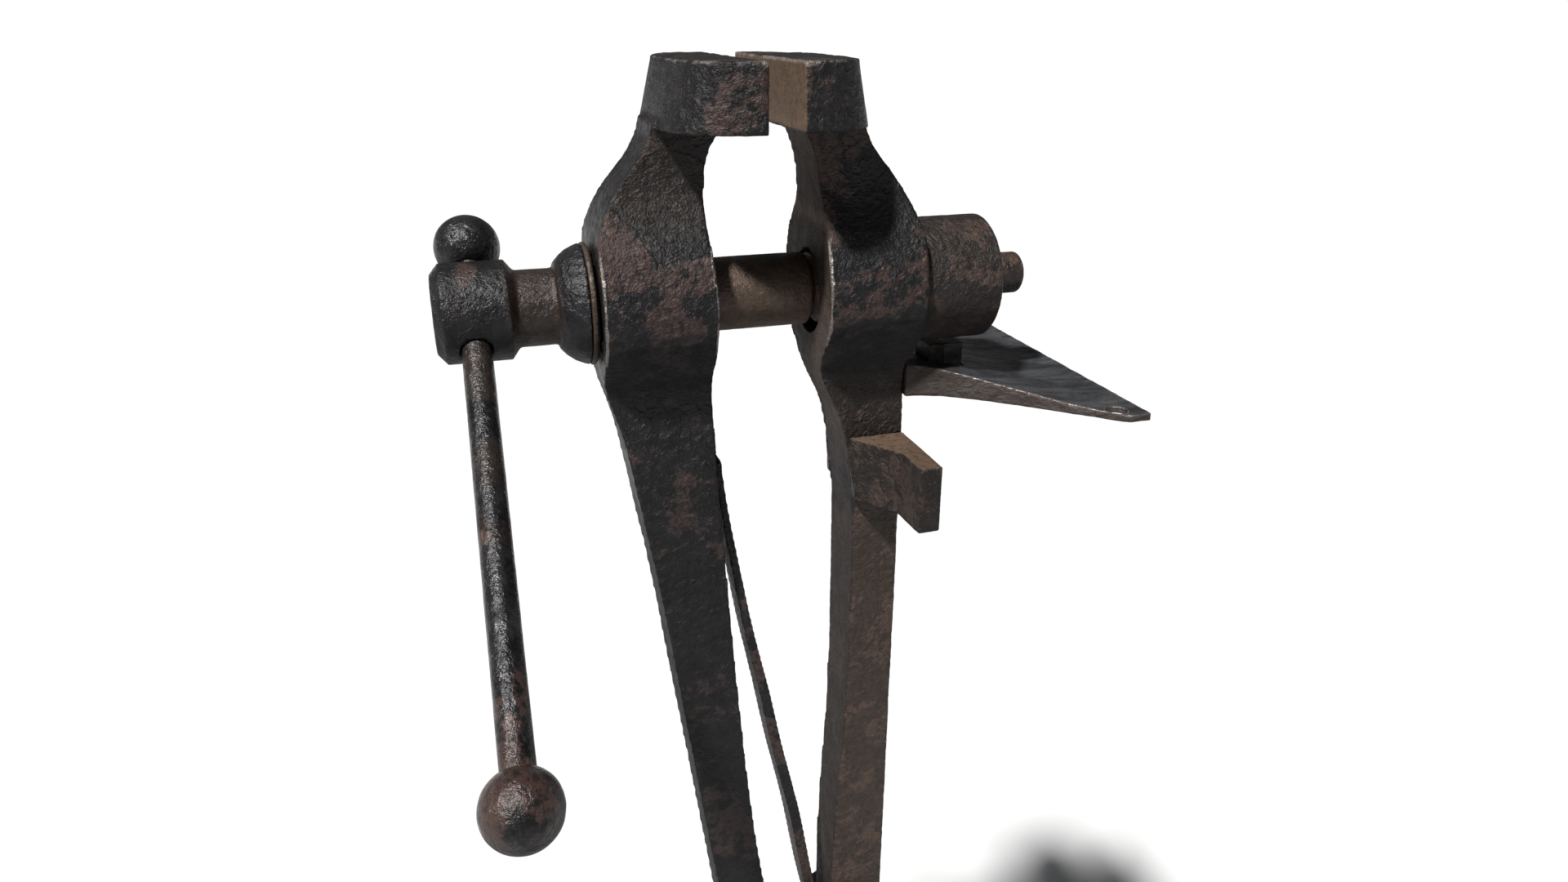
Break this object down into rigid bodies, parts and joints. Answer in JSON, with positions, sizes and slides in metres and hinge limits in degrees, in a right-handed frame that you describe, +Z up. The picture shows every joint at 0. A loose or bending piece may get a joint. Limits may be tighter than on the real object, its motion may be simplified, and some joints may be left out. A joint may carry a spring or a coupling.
{
  "type": "post vise",
  "caption": "Forged blacksmith's post vise: long hinged legs, leaf spring, screw with sliding T-handle, and a fan-shaped bench plate.",
  "frame": {"origin": "bottom centre of the pin under the foot, on the axis of the fixed leg", "axes": "+Z up along the fixed leg; +X from the smith towards the bench, along the screw; Y across the jaws"},
  "size_m": [0.349, 0.3018, 1.0499],
  "materials": {
    "forged_iron": "dark forge scale with rust-brown patches and worn edges",
    "jaw_steel": "dark worn steel",
    "screw_iron": "dark worn iron, oiled",
    "handle_iron": "dark iron polished by hands, brown speckled",
    "spring_steel": "dark tempered steel",
    "fastener_iron": "rusty dark iron",
    "plate_iron": "blue-grey forge scale"
  },
  "bodies": {
    "frame": {"rear_leg": "forged_iron", "rear_jaw_facing": "jaw_steel", "cheek_near": "forged_iron", "cheek_far": "forged_iron", "cheek_rivets": "fastener_iron", "pivot_bolt": "fastener_iron", "pivot_nut": "fastener_iron", "pivot_washers": "fastener_iron", "foot_collar": "forged_iron", "leaf_spring": "spring_steel", "spring_rivet": "fastener_iron", "side_lug_near": "forged_iron", "side_lug_far": "forged_iron", "bench_plate": "plate_iron", "leg_hook": "forged_iron", "plate_wedge": "plate_iron"},
    "front_leg": {"front_leg": "forged_iron", "front_jaw_facing": "jaw_steel"},
    "screw_box": {"screw_box": "screw_iron", "box_thread_coil": "screw_iron", "box_key": "screw_iron"},
    "thrust_washer": {"thrust_washer": "screw_iron"},
    "screw": {"screw": "screw_iron"},
    "handle": {"handle_bar": "handle_iron", "handle_ball_upper": "handle_iron", "handle_ball_lower": "handle_iron"}
  },
  "joints": [
    {"name": "front_leg_swing", "type": "hinge", "parent": "frame", "child": "front_leg", "pos_m": [-0.0615, 0, 0.444], "axis": [0, -1, 0], "range_deg": [-1.52, 8.01], "deforming": ["leaf_spring"]},
    {"name": "screw_box_rock", "type": "hinge", "parent": "frame", "child": "screw_box", "pos_m": [0.021, 0, 0.934], "axis": [0, -1, 0], "range_deg": [-0.77, 4.05]},
    {"name": "screw_travel", "type": "slide", "parent": "screw_box", "child": "thrust_washer", "axis": [-1, 0, 0], "range_m": [-0.01314, 0.06955]},
    {"name": "screw_turn", "type": "hinge", "parent": "thrust_washer", "child": "screw", "pos_m": [-0.1, 0, 0.934], "axis": [-1, 0, 0], "range_deg": [-744, 3942]},
    {"name": "handle_slide", "type": "slide", "parent": "screw", "child": "handle", "axis": [0.0192, 0.8109, 0.5848], "range_m": [-0.0029, 0.2003]}
  ],
  "couplings": [
    {"joint": "front_leg_swing", "follows": "screw_turn", "ratio": 0.0020294},
    {"joint": "screw_box_rock", "follows": "screw_turn", "ratio": 0.0010248},
    {"joint": "screw_travel", "follows": "screw_turn", "m_per_rad": 0.0010106}
  ]
}
